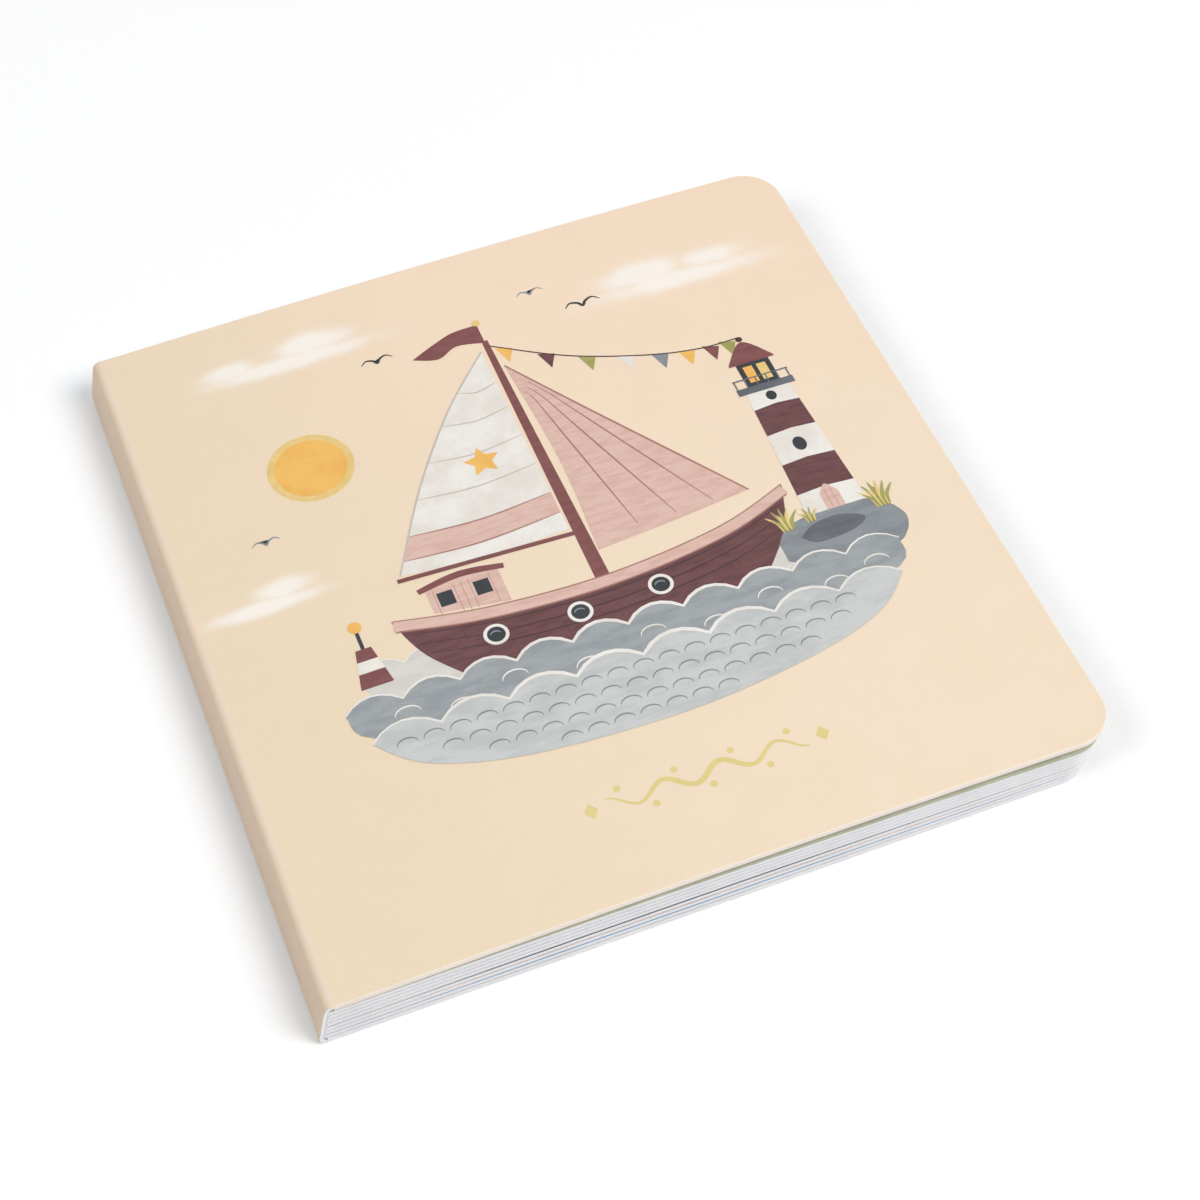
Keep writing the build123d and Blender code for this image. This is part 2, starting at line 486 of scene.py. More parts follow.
def page_wash(name, colour, shade, gutter_strength=0.35, feature=9 * MM, fore_strength=1.0):
    """A wash over a whole page that thins out at the gutter as painted light and, if asked, at the
    fore edge.
    """
    material, tree, place = start_material(name)
    across = add_node(tree, "SeparateXYZ", {}, {0: place}).outputs["X"]
    # Painted light: near the spine the wash fades to white, so the gaps there stay pale despite
    # the shade
    from_gutter = add_node(
        tree, "MapRange", SMOOTH, {0: across, 1: -72 * MM, 2: -38 * MM, 3: gutter_strength})
    fullness = add_node(
        tree, "MapRange", SMOOTH, {0: across, 2: 60 * MM, 3: from_gutter, 4: fore_strength})
    patches = mottled(tree, place, linear(colour), linear(shade), feature, 0.6)
    washed = add_node(
        tree, "Mix", OF_COLOURS,
        {MIX_FACTOR: fullness, MIX_A: linear(page_white), MIX_B: patches},
    )
    seal_with_film(tree, place, washed.outputs[MIX_COLOUR])
    return material


spread_inks = {
    "sage": page_wash("Printed sage page", "D1D4C1", "C3C6B1", gutter_strength=0.8),
    "mist": page_wash("Printed mist page", "DFE2E5", "CDD2D7"),
    "slate": page_wash("Printed slate page", "8E9498", "70767B", 0.2, 30 * MM, 0.35),
    "rose": page_wash("Printed rose page", "E8D8D2", "DCC3BB"),
    "sky": page_wash("Printed sky page", "9DC8E2", "84B4D4", 0.5),
    "pearl": page_wash("Printed pearl grey page", "E6E6E5", "D8D9DA", gutter_strength=0.8),
}

# From the gap over the back cover up to the gap under the front cover
gap_inks = ["pearl", "sky", "rose", "slate", "mist", "mist", "mist", "sage"]
print("gaps from the back cover up:", gap_inks)

# %% [markdown]
# ## Working in edit mode from code
#
# Each piece starts as a primitive and is shaped in edit mode. With a mouse one would click the
# corners to round or the rim to bevel; here a small test picks them by where they lie.

# %% Picking parts of a mesh
SELECT_MODES = {"vertices": "VERT", "edges": "EDGE", "polygons": "FACE"}


def pick(piece, kind, test):
    """Leaves edit mode on with only the vertices, edges or polygons selected that pass a test."""
    bpy.ops.object.mode_set(mode="EDIT")
    bpy.ops.mesh.select_mode(type=SELECT_MODES[kind])
    bpy.ops.mesh.select_all(action="DESELECT")
    bpy.ops.object.mode_set(mode="OBJECT")
    for element in getattr(piece.data, kind):
        element.select = test(element)
    bpy.ops.object.mode_set(mode="EDIT")


def only(piece):
    """Makes a piece the one selected and active object."""
    bpy.ops.object.select_all(action="DESELECT")
    piece.select_set(True)
    bpy.context.view_layer.objects.active = piece


def extrude(way):
    bpy.ops.mesh.extrude_region_move(TRANSFORM_OT_translate={"value": way})


def cut_across(first_x, last_x, spacing):
    """Cuts the mesh in edit mode across the book at even steps, so that it can bend."""
    count = max(1, round((last_x - first_x) / spacing))
    for step in range(1, count):
        x = first_x + (last_x - first_x) * step / count
        bpy.ops.mesh.select_all(action="SELECT")
        bpy.ops.mesh.bisect(plane_co=(x, 0, 0), plane_no=(1, 0, 0))


def weld():
    """Merges doubled vertices in edit mode, turns all faces one way and leaves edit mode."""
    bpy.ops.mesh.select_all(action="SELECT")
    bpy.ops.mesh.remove_doubles(threshold=merge_distance)
    bpy.ops.mesh.normals_make_consistent(inside=False)
    bpy.ops.object.mode_set(mode="OBJECT")


def joined(parts):
    """Joins pieces to the first of them, which stays selected and active."""
    only(parts[0])
    for part in parts:
        part.select_set(True)
    bpy.ops.object.join()
    return parts[0]


def smooth_flat(piece):
    """Shades a bowed board smoothly and keeps its large faces true beside small bevels."""
    only(piece)
    bpy.ops.object.shade_smooth_by_angle(angle=crease_angle)
    bpy.ops.object.modifier_add(type="WEIGHTED_NORMAL")
    piece.modifiers[-1].keep_sharp = True
    bpy.ops.object.modifier_apply(modifier=piece.modifiers[-1].name)


# %% [markdown]
# ## Boards: the covers and the leaves
#
# A cover and a leaf are the same thing to the die: a rectangle of card with two rounded corners
# at the fore edge. The piece starts as a plane, its two fore corners are bevelled round, and it
# is extruded to its thickness. Cuts every few millimetres then let it follow the bow, which is
# a rise of about 1 mm over the whole width: too little to see as a shape, but it carries the
# slow change of light over the cover.

# %% One die-cut board
def die_cut_board(name, start_x, end_x, thickness, height_at, cut_spacing):
    bpy.ops.mesh.primitive_plane_add(size=1, location=((start_x + end_x) / 2, 0, 0))
    board = bpy.context.active_object
    board.name = name
    board.scale = (end_x - start_x, book_height, 1)
    bpy.ops.object.transform_apply(location=True, rotation=True, scale=True)
    pick(board, "vertices", lambda vertex: vertex.co.x > end_x - MM)
    bpy.ops.mesh.bevel(offset=corner_radius, segments=16, affect="VERTICES")
    bpy.ops.mesh.select_all(action="SELECT")
    extrude((0, 0, thickness))
    cut_across(start_x, end_x, cut_spacing)
    weld()
    for vertex in board.data.vertices:
        vertex.co.z += height_at(vertex.co.x)
    return board


def dress(board, upper, lower, edge):
    """Gives a board's upper face, lower face and cut edge their materials."""
    for material in (edge, upper, lower):
        board.data.materials.append(material)
    for face in board.data.polygons:
        if abs(face.normal.z) > 0.8:
            face.material_index = 1 if face.normal.z > 0 else 2


def press_rim(cover, hinge_x, outward):
    """Bevels the free edges of a cover's outer face, where the die has pressed them round."""
    def on_rim(edge):
        ends = [cover.data.vertices[index] for index in edge.vertices]
        faces = [face for face in cover.data.polygons if edge.key in face.edge_keys]
        meets_outer = any(face.normal.z * outward > 0.9 for face in faces)
        meets_side = any(abs(face.normal.z) < 0.5 for face in faces)
        at_hinge = all(abs(end.co.x - hinge_x) < 0.01 * MM for end in ends)
        return meets_outer and meets_side and not at_hinge

    pick(cover, "edges", on_rim)
    bpy.ops.mesh.bevel(offset=pressed_rim, segments=3, affect="EDGES")
    bpy.ops.object.mode_set(mode="OBJECT")


# %% The front cover
front_card = die_cut_board(
    "front_cover_card", front_hinge.x, front_fore_x, cover_thickness, front_underside, 5 * MM)
press_rim(front_card, front_hinge.x, outward=1)
dress(front_card, cover_ground, spread_inks["sage"], cut_cover)
smooth_flat(front_card)
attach(front_card, "front_cover")
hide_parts("front_cover")
print("front cover:", len(front_card.data.polygons), "faces")

# %% The back cover
back_card = die_cut_board(
    "back_cover_card", back_hinge.x, back_fore_x, cover_thickness, lambda x: 0.0, 20 * MM)
press_rim(back_card, back_hinge.x, outward=-1)
dress(back_card, spread_inks["pearl"], plain_ground, cut_leaf)
smooth_flat(back_card)
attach(back_card, "back_cover")
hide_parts("back_cover")
print("back cover:", len(back_card.data.polygons), "faces")

# %% [markdown]
# ## The spine: one sheet turned over two folds
#
# The sheet leaves the front cover level, turns down over a fold of 2.2 mm radius, runs down the
# leaning wall and turns under at 1.5 mm. An edge as long as the book is spun round the first
# fold's centre, extruded down the wall and spun round the second. Solidify then adds the
# board's thickness inwards, and its rim is the white cut edge that shows at head and tail.

# %% The spine
def edge_along_book(name, x, z, length):
    """A plane with one side taken away: an edge along the book, selected in edit mode."""
    bpy.ops.mesh.primitive_plane_add(size=1, location=(0, 0, 0))
    strip = bpy.context.active_object
    strip.name = name
    pick(strip, "vertices", lambda vertex: vertex.co.x > 0)
    bpy.ops.mesh.delete(type="VERT")
    bpy.ops.object.mode_set(mode="OBJECT")
    for vertex in strip.data.vertices:
        vertex.co = (x, math.copysign(length / 2, vertex.co.y), z)
    pick(strip, "vertices", lambda vertex: True)
    return strip


def spin_fold(centre, angle, steps, towards_spine=True):
    """Spins the selected edge round the line along the book through a fold's centre."""
    axis = (0, 1, 0) if towards_spine else (0, -1, 0)
    bpy.ops.mesh.spin(steps=steps, angle=angle, center=(centre[0], 0, centre[1]), axis=axis)


def thicken(strip, thickness):
    """Adds a sheet's thickness on the side that its faces turn away from."""
    thickened = strip.modifiers.new("Board thickness", "SOLIDIFY")
    thickened.thickness = thickness
    thickened.offset = -1
    thickened.use_even_offset = True
    thickened.material_offset = 1
    thickened.material_offset_rim = 2
    only(strip)
    bpy.ops.object.modifier_apply(modifier=thickened.name)


def wall_end(centre, radius):
    """Where a fold meets the leaning wall."""
    return Vector((centre[0] - radius * math.cos(lean), 0, centre[1] + radius * math.sin(lean)))


upper_centre = (front_hinge.x, spine_height - upper_fold_radius)
lower_centre = (back_hinge.x, lower_fold_radius)
fold_steps = 12

spine_card = edge_along_book("spine_card", front_hinge.x, spine_height, book_height)
spin_fold(upper_centre, upper_turn, fold_steps)
down_wall = wall_end(lower_centre, lower_fold_radius) - wall_end(upper_centre, upper_fold_radius)
extrude(down_wall)
spin_fold(lower_centre, lower_turn, fold_steps)
weld()
wall = min(spine_card.data.polygons, key=lambda face: face.center.x)
if wall.normal.x > 0:
    spine_card.data.flip_normals()
for material in (plain_ground, bare_board, cut_leaf):
    spine_card.data.materials.append(material)
thicken(spine_card, sheet_thickness)
smooth_flat(spine_card)
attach(spine_card, "book_block")
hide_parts("spine")
spine_xs = [vertex.co.x / MM for vertex in spine_card.data.vertices]
print(f"spine from x {min(spine_xs):.2f} to {max(spine_xs):.2f} mm, {len(spine_xs)} vertices")

# %% [markdown]
# ## The block of leaves
#
# Seven leaves lie between the covers, each a board of its own length and height, because the
# stack steps back downwards. Behind each leaf two spreads are glued, and between two leaves
# the spread folds over in a small round back. That back is a cylinder squeezed to an ellipse;
# it is made once and copied into each gap.

# %% The leaves
def mark_height(board, height_at, thickness):
    """Stores how far up through its leaf each vertex lies, for the glue line."""
    share = board.data.attributes.new("through_leaf", "FLOAT", "POINT")
    for vertex in board.data.vertices:
        share.data[vertex.index].value = (vertex.co.z - height_at(vertex.co.x)) / thickness


leaves = []
for leaf in range(leaf_count):
    underside = leaf_underside(leaf)
    board = die_cut_board(
        f"leaf_{leaf}", groove(leaf)[0] + fold_bulge / 2, leaf_fore_x(leaf), leaf_thickness,
        underside, 12 * MM)
    mark_height(board, underside, leaf_thickness)
    dress(board, spread_inks[gap_inks[leaf + 1]], spread_inks[gap_inks[leaf]], cut_leaf)
    leaves.append(board)
print("leaves:", len(leaves))

# %% The folded backs between the leaves
bpy.ops.mesh.primitive_cylinder_add(
    vertices=20, radius=1, depth=book_height - 0.1 * MM, rotation=(math.pi / 2, 0, 0))
first_back = bpy.context.active_object
first_back.name = "folded_back"
first_back.data.materials.append(cut_leaf)
bpy.ops.object.transform_apply(location=True, rotation=True, scale=True)
mark_height(first_back, lambda x: -1.0, 2.0)

# The outermost backs go on to the covers. They are cut level with the block's upper face, and
# a little below its lower face, where the pasted spread fills the fold of the sheet.
block_bottom = leaf_bottom_at_spine(0)
backs_bottom = block_bottom - 0.2 * MM
block_top = leaf_bottom_at_spine(top_leaf) + leaf_thickness
below_block = (groove(0)[0], block_bottom - leaf_thickness / 2)
above_block = (groove(top_leaf)[0], block_top + leaf_thickness / 2)
groove_line = [below_block] + [groove(leaf) for leaf in range(leaf_count)] + [above_block]
backs = []
for lower, upper in zip(groove_line, groove_line[1:]):
    back = first_back.copy()
    back.data = first_back.data.copy()
    bpy.context.collection.objects.link(back)
    rise = upper[1] - lower[1]
    run = upper[0] - lower[0]
    for vertex in back.data.vertices:
        along = vertex.co.z / 2
        x = (lower[0] + upper[0]) / 2 + along * run + vertex.co.x * fold_bulge
        z = (lower[1] + upper[1]) / 2 + along * rise
        vertex.co = (x, vertex.co.y, min(max(z, backs_bottom), block_top))
    backs.append(back)
bpy.data.objects.remove(first_back)
print("folded backs:", len(backs))

# %% One block of card
page_card = joined(leaves + backs)
page_card.name = "page_block_card"
smooth_flat(page_card)
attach(page_card, "book_block")
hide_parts("page_block")
print("page block:", len(page_card.data.polygons), "faces")

# %% [markdown]
# ## The pasted spreads at the two gutters
#
# The first spread is pasted to the front cover with one half and faces the block with the
# other, and the last spread does the same at the back. Between the halves the paper folds, and
# it has to bend when a cover opens. The strip here is folded flat in the gap when the book is
# closed: out along the page, round a hairpin, and back along the cover.

# %% The gutter strips
strip_length = 1.8 * MM
strip_thickness = 0.03 * MM
strip_lift = 0.05 * MM
hairpin_offset = 0.15 * MM
hairpin_steps = 48


def gutter_strip(name, wash, hinge_x, page_z, cover_z):
    toward_cover = math.copysign(1, cover_z - page_z)
    start_z = page_z + toward_cover * strip_lift
    end_z = cover_z - toward_cover * strip_lift
    fold_x = hinge_x + hairpin_offset
    strip = edge_along_book(name, fold_x + strip_length, start_z, book_height - 0.3 * MM)
    extrude((-strip_length, 0, 0))
    middle = (fold_x, (start_z + end_z) / 2)
    spin_fold(middle, math.pi, hairpin_steps, towards_spine=toward_cover < 0)
    extrude((strip_length, 0, 0))
    weld()
    for material in (wash, wash, cut_leaf):
        strip.data.materials.append(material)
    nearest = min(strip.data.polygons, key=lambda face: face.center.x)
    if nearest.normal.x > 0:
        strip.data.flip_normals()
    thicken(strip, strip_thickness)
    only(strip)
    bpy.ops.object.shade_smooth_by_angle(angle=crease_angle)
    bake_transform(strip)
    print(name, "from", round(start_z / MM, 2), "to", round(end_z / MM, 2), "mm")


gutter_strip("front_gutter_strip", spread_inks["sage"], front_hinge.x, block_top,
             front_bottom_at_spine)
gutter_strip("back_gutter_strip", spread_inks["pearl"], back_hinge.x, block_bottom,
             cover_thickness)

# %% [markdown]
# ## Drawing with ink
#
# The picture on the cover is flat colour: soft painted fields with a few thin lines. Each field
# is a circle of vertices pulled to its outline and filled, and a line is a narrow field that
# tapers. Layers of ink lie a hundredth of a millimetre apart, so that the one on top is always
# the one that was printed last. A motif is a list of rows: an outline, the ink's name and the
# layer. Its shapes are joined, cut across every few millimetres, and laid on the bow of the card
# that carries them.

# %% Outlines, in millimetres on the cover
def through(points, per_span=6):
    """A smooth open line through the points, with straight tangents at its two ends."""
    padded = [points[0]] + list(points) + [points[-1]]
    line = []
    for before, start, end, after in zip(padded, padded[1:], padded[2:], padded[3:]):
        for step in range(per_span):
            t = step / per_span
            line.append(tuple(
                0.5 * (2 * s + (e - b) * t + (2 * b - 5 * s + 4 * e - a) * t ** 2
                       + (3 * s - b - 3 * e + a) * t ** 3)
                for b, s, e, a in zip(before, start, end, after)))
    return line + [points[-1]]


def oval(x, y, half_width, half_height, count=28):
    return [(x + half_width * math.cos(2 * math.pi * step / count),
             y + half_height * math.sin(2 * math.pi * step / count)) for step in range(count)]


def rectangle(left, low, right, high):
    return [(left, low), (left, high), (right, high), (right, low)]


def star_outline(reach):
    sizes = [reach, reach / 2] * 5
    return [(size * math.sin(math.pi * point / 5), size * math.cos(math.pi * point / 5))
            for point, size in enumerate(sizes)]


def scallops(start_x, end_x, y, pitch, rise):
    """A crest of round scallops, from left to right."""
    per_scallop = 6
    steps = per_scallop * round((end_x - start_x) / pitch)
    line = []
    for step in range(steps):
        swell = abs(math.sin(math.pi * step / per_scallop))
        line.append((start_x + (end_x - start_x) * step / steps, y + rise * swell ** 0.8))
    return line + [(end_x, y)]


def stroke(points, width, taper=0.35):
    """The outline of a brush line: full in the middle and narrower at both ends."""
    left, right = [], []
    last = len(points) - 1
    for place, (x, y) in enumerate(points):
        before = points[max(place - 1, 0)]
        after = points[min(place + 1, last)]
        along = math.hypot(after[0] - before[0], after[1] - before[1]) or 1.0
        across = ((before[1] - after[1]) / along, (after[0] - before[0]) / along)
        swell = taper + (1 - taper) * math.sin(math.pi * place / last)
        half = width * swell / 2
        left.append((x + across[0] * half, y + across[1] * half))
        right.append((x - across[0] * half, y - across[1] * half))
    return left + right[::-1]


def moved(outline, x, y, size=1.0):
    return [(x + px * size, y + py * size) for px, py in outline]


print("outline helpers ready")

# %% Shapes of ink and their place on the card
ink_lift = 0.02 * MM
ink_step = 0.01 * MM
print_cut_spacing = 4 * MM


def ink_shape(outline, colour, layer):
    """One field of ink: a circle of vertices pulled to the outline, counter-clockwise."""
    turning = sum(a[0] * b[1] - b[0] * a[1] for a, b in zip(outline, outline[1:] + outline[:1]))
    if turning < 0:
        outline = outline[::-1]
    bpy.ops.mesh.primitive_circle_add(vertices=len(outline), fill_type="NGON")
    shape = bpy.context.active_object
    upward = shape.data.polygons[0].normal.z > 0
    for vertex, (x, y) in zip(shape.data.vertices, outline if upward else outline[::-1]):
        vertex.co = (x * MM, y * MM, layer * ink_step)
    shape.data.materials.append(ink[colour])
    return shape


def drawn(rows):
    """Makes the shapes of a motif from its rows and joins them."""
    return joined([ink_shape(*row) for row in rows])


def lay_print(motif, name, carrier_height, side, body):
    """Lays a motif on the face of a board: on its upper side, or on its lower one."""
    only(motif)
    motif.name = name
    xs = [vertex.co.x for vertex in motif.data.vertices]
    bpy.ops.object.mode_set(mode="EDIT")
    cut_across(min(xs), max(xs), print_cut_spacing)
    bpy.ops.object.mode_set(mode="OBJECT")
    for vertex in motif.data.vertices:
        lift = ink_lift + vertex.co.z
        vertex.co.z = carrier_height(vertex.co.x) + side * lift
    if side < 0:
        motif.data.flip_normals()
    bpy.ops.object.shade_smooth()
    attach(motif, body)
    print(name, "has", len(motif.data.polygons), "faces of ink")


# %% [markdown]
# ## The inks of the cover picture
#
# A children's book is painted in a few soft, slightly greyed colours. Each ink here has a main
# colour and a shade that runs through it in patches: broad ones for canvas and plaster, and
# long ones along the planks, as the brush went.

# %% The inks
# Main colour, shade, size of the patches in millimetres, their strength, how long they are drawn
ink_recipes = {
    "canvas": ("ECE8E2", "D8D0C6", 11, 0.6, 1),
    "seam": ("C9BFB4", "B8AC9F", 6, 0.4, 1),
    "maroon": ("6E4245", "573133", 6, 0.7, 5),
    "dark maroon": ("4D2C2D", "432526", 5, 0.5, 1),
    "red brown": ("844C4B", "6F3D3B", 5, 0.6, 4),
    "rose": ("DDBBAF", "CDA395", 5, 0.6, 5),
    "rose line": ("A9786C", "97685D", 4, 0.4, 1),
    "slate": ("8D9297", "777C82", 9, 0.7, 3),
    "dark slate": ("686D73", "55595F", 9, 0.7, 3),
    "water": ("C9CBC9", "B4B8B8", 9, 0.7, 3),
    "deep water": ("A0A5A8", "888E92", 9, 0.7, 3),
    "pale water": ("D8D5CE", "C9C5BD", 9, 0.6, 3),
    "night": ("2F353A", "22272B", 5, 0.5, 1),
    "sun": ("F0BC60", "E8A94A", 7, 0.6, 1),
    "straw": ("E7C984", "D9B567", 4, 0.5, 1),
    "olive": ("A5A35C", "8C8C48", 4, 0.6, 1),
    "gold": ("DFCD88", "D5C178", 6, 0.4, 1),
    "moss": ("969C7E", "838A6B", 5, 0.5, 1),
}
ink = {
    name: printed_ink(f"Ink, {name}", colour, shade, patch * MM, amount, (1, length, 1))
    for name, (colour, shade, patch, amount, length) in ink_recipes.items()
}
print("inks:", len(ink))

# %% [markdown]
# ## The sea and the rock
#
# Three bands of water lie one over the other, each a long lens with a scalloped crest. Rows of
# small arcs are brushed on the nearest band. They and the foam on the crests are what makes
# flat colour read as water. The rock at the right carries the lighthouse and tufts of grass.

# %% The sea
far_crest = scallops(-52, 60, -19, 9.3, 2.4)
mid_crest = scallops(-58, 64, -27.5, 12.2, 3.0)
near_crest = scallops(-55, 61, -36, 14.5, 3.4)
far_foot = through([(60, -19), (54, -27), (4, -33), (-46, -27), (-52, -19)])
mid_foot = through([(64, -27.5), (57, -36), (4, -42), (-50, -36), (-58, -27.5)])
near_foot = through(
    [(61, -36), (52, -44), (34, -49.5), (6, -52.5), (-26, -50.5), (-46, -44.5), (-55, -36)])
sea = [
    (far_crest + far_foot, "pale water", 1),
    (stroke(far_crest, 0.6, 0.4), "canvas", 2),
    (mid_crest + mid_foot, "deep water", 8),
    (stroke(mid_crest, 0.8, 0.4), "canvas", 9),
    (near_crest + near_foot, "water", 10),
    (stroke(near_crest, 0.9, 0.4), "canvas", 11),
]
wave_arc = [(2.2 * math.cos(math.pi * step / 8), 1.5 * math.sin(math.pi * step / 8))
            for step in range(9)]
for row, (row_y, reach) in enumerate([(-38.6, 50), (-42.4, 46), (-46.2, 36), (-49.8, 20)]):
    for column in range(-10, 11):
        x = 2 + 5.6 * column + 2.8 * (row % 2)
        if abs(x - 1) < reach:
            sea.append((stroke(moved(wave_arc, x, row_y), 0.38), "slate", 12))
for x, y in [(-46, -31.6), (-35, -34), (-23, -31.4), (-8, -34.2), (7, -31.6), (20, -34.2),
             (33, -31.6), (47, -34), (57, -31.8)]:
    sea.append((stroke(moved(wave_arc, x, y, 1.25), 0.4), "canvas", 9.5))
lay_print(drawn(sea), "print_sea", front_face, 1, "front_cover")

# %% The rock and the lighthouse
tower_x = 55.5
tower_foot, tower_foot_half = -15, 6.9
tower_head, tower_head_half = 22, 5.1


def tower_band(low, high):
    """A slice of the tower between two heights, with edges that rise a little in the middle."""
    taper = (tower_foot_half - tower_head_half) / (tower_head - tower_foot)
    low_half, high_half = [tower_foot_half - taper * (y - tower_foot) for y in (low, high)]
    return [(tower_x - low_half, low), (tower_x - high_half, high), (tower_x, high + 0.5),
            (tower_x + high_half, high), (tower_x + low_half, low), (tower_x, low + 0.5)]


rock_top = through([(40, -20), (43, -16.5), (48, -15), (56, -13.8), (63, -15.5), (67, -19)])
rock_foot = through([(67, -19), (68.2, -22.5), (66.5, -26.5), (62, -29), (48, -29), (40, -25)])
rock_shade = through(
    [(45, -20), (49, -17.5), (55, -17), (60, -19.5), (56, -22), (48, -22.5), (45, -20)])
tower = [(tower_x - tower_foot_half, tower_foot), (tower_x - tower_head_half, tower_head),
         (tower_x + tower_head_half, tower_head), (tower_x + tower_foot_half, tower_foot)]
door = [(53.4, -15), (53.4, -10.6)] + through([(53.4, -10.6), (55.5, -8), (57.6, -10.6)]) \
    + [(57.6, -15)]
lamp_roof = [(50, 31), (50.4, 31.9)] + through([(50.4, 31.9), (55.5, 37.5), (60.6, 31.9)]) \
    + [(61, 31)]
shore = [
    (rock_top + rock_foot, "slate", 3),
    (rock_shade, "dark slate", 4),
    (tower, "canvas", 4.5),
    (tower_band(-9, 0), "maroon", 5),
    (tower_band(9, 17), "maroon", 5),
    (door, "rose", 6),
    (stroke([(54.8, -14.8), (54.8, -9.4)], 0.3), "rose line", 7),
    (stroke([(56.2, -14.8), (56.2, -9.4)], 0.3), "rose line", 7),
    (oval(tower_x, 4.6, 1.5, 2.0), "night", 6),
    (oval(tower_x, 20.0, 1.2, 1.4), "night", 6),
    (rectangle(48.8, 22, 62.2, 24), "dark slate", 6),
    (rectangle(51.6, 24, 59.4, 31), "night", 6),
    (rectangle(52.8, 25, 55.0, 30), "sun", 7),
    (rectangle(56.0, 25, 58.2, 30), "straw", 7),
    (lamp_roof, "red brown", 7),
    (oval(tower_x, 38.4, 0.8, 0.8, 14), "dark maroon", 7),
    (stroke([(48.9, 26.5), (62.1, 26.5)], 0.4, 0.9), "dark slate", 8),
]
for post in range(6):
    x = 49.2 + 2.5 * post
    shore.append((stroke([(x, 24), (x, 26.5)], 0.35, 0.9), "dark slate", 8))


# %% The grass
def tuft(x, y, size, blades):
    """A tuft of grass: long bent strokes from one root."""
    rows = []
    for blade in range(blades):
        aside = (blade - (blades - 1) / 2) / blades
        tip = (aside * 9, 7.5 - 9 * aside ** 2 - (blade % 2) * 1.8)
        line = through([(aside * 3, 0), (aside * 4.2, tip[1] * 0.55), tip], 5)
        outline = stroke(moved(line, x, y, size), 0.75 * size, 0.1)
        rows.append((outline, "olive" if blade % 3 else "straw", 7 + 0.3 * blade))
    return rows


shore += tuft(43.5, -17.5, 0.9, 9) + tuft(65, -18.5, 1.0, 11) + tuft(49, -17, 0.6, 7)
lay_print(drawn(shore), "print_lighthouse", front_face, 1, "front_cover")

# %% [markdown]
# ## The boat
#
# A planked hull with a rose rail, one mast, and two sails. The planks follow the sheer of the
# rail, so each is the same line moved down and flattened. The sails are mottled like canvas,
# with seams as thin grey strokes that sag a little towards the mast.

# %% The hull
sheer = through([(-42, -8.5), (-22, -12.6), (4, -14), (30, -11), (47, -5)])
hull_outline = sheer + through([(47, -5), (43, -16), (35, -26)]) \
    + through([(35, -26), (2, -31.5), (-30, -29)]) + through([(-30, -29), (-38, -19), (-42, -8.5)])
boat = [(hull_outline, "maroon", 3)]
for drop in (5.0, 8.6, 12.2):
    inset = drop * 0.42
    plank = [(x * (1 - inset / 46) + 0.4, y * (1 - drop / 60) - drop) for x, y in sheer]
    boat.append((stroke(plank, 0.45), "dark maroon", 4))
for x, drop in [(-29, 5), (-9, 8.6), (14, 5), (30, 8.6), (-20, 12.2), (22, 12.2)]:
    y = -13.4 - drop + 0.0035 * x * x
    boat.append((stroke([(x, y), (x + 0.2, y - 3.3)], 0.35), "dark maroon", 4))
boat += [
    (stroke(moved(sheer, 0, -1.1), 3.0, 0.85), "rose", 5),
    (stroke(moved(sheer, 0, -2.7), 0.4, 0.8), "rose line", 6),
    (stroke(moved(sheer, 0, 0.3), 0.35, 0.8), "rose line", 6),
]
for x, y in [(-23, -19.6), (-5, -20.8), (13, -20.4)]:
    boat += [
        (oval(x, y, 2.7, 2.7), "canvas", 5),
        (oval(x, y, 1.95, 1.95), "night", 6),
        (stroke(moved(wave_arc, x - 0.1, y + 0.1, 0.5), 0.35), "slate", 7),
    ]
cabin = [(-33, -9.6), (-33, -3.2)] + through([(-33, -3.2), (-25, -2.2), (-17, -3.2)]) \
    + [(-17, -12.4)]
cabin_roof = through([(-34.5, -3.0), (-25, -1.6), (-15.5, -3.0)])
boat += [(cabin, "rose", 2.4), (stroke(cabin_roof, 1.7, 0.8), "red brown", 2.6)]
for x in (-29.4, -21.4):
    boat.append((rectangle(x - 1.7, -8.6, x + 1.7, -4.8), "night", 2.7))
for x in (-31.6, -27.0, -25.4, -23.8, -19.2):
    boat.append((stroke([(x, -11.5), (x, -3.4)], 0.3), "rose line", 2.5))

# %% The mast and the sails
leech = through([(0.6, 57), (-12, 43), (-25, 24), (-36.5, 2.6)])
main_sail = leech + through([(-36.5, 2.6), (-18, 0.6), (0.6, 0.9)])
luff = through([(4.0, 51), (17, 31), (29, 13), (40, -3.4)])
jib = luff + through([(40, -3.4), (22, -5.4), (4.4, -6.8)]) \
    + through([(4.4, -6.8), (5.6, 20), (4.0, 51)])
flag = through([(2.4, 59.4), (-4, 60.8), (-9, 58.6), (-14.5, 60.6)]) \
    + through([(-14.5, 60.6), (-8.5, 63.4), (-3.5, 65.2), (2.4, 65.4)])


def leech_x(y):
    """Where the outer edge of the mainsail is at a height."""
    for (x0, y0), (x1, y1) in zip(leech, leech[1:]):
        if y1 <= y <= y0:
            return x1 + (x0 - x1) * (y - y1) / (y0 - y1)


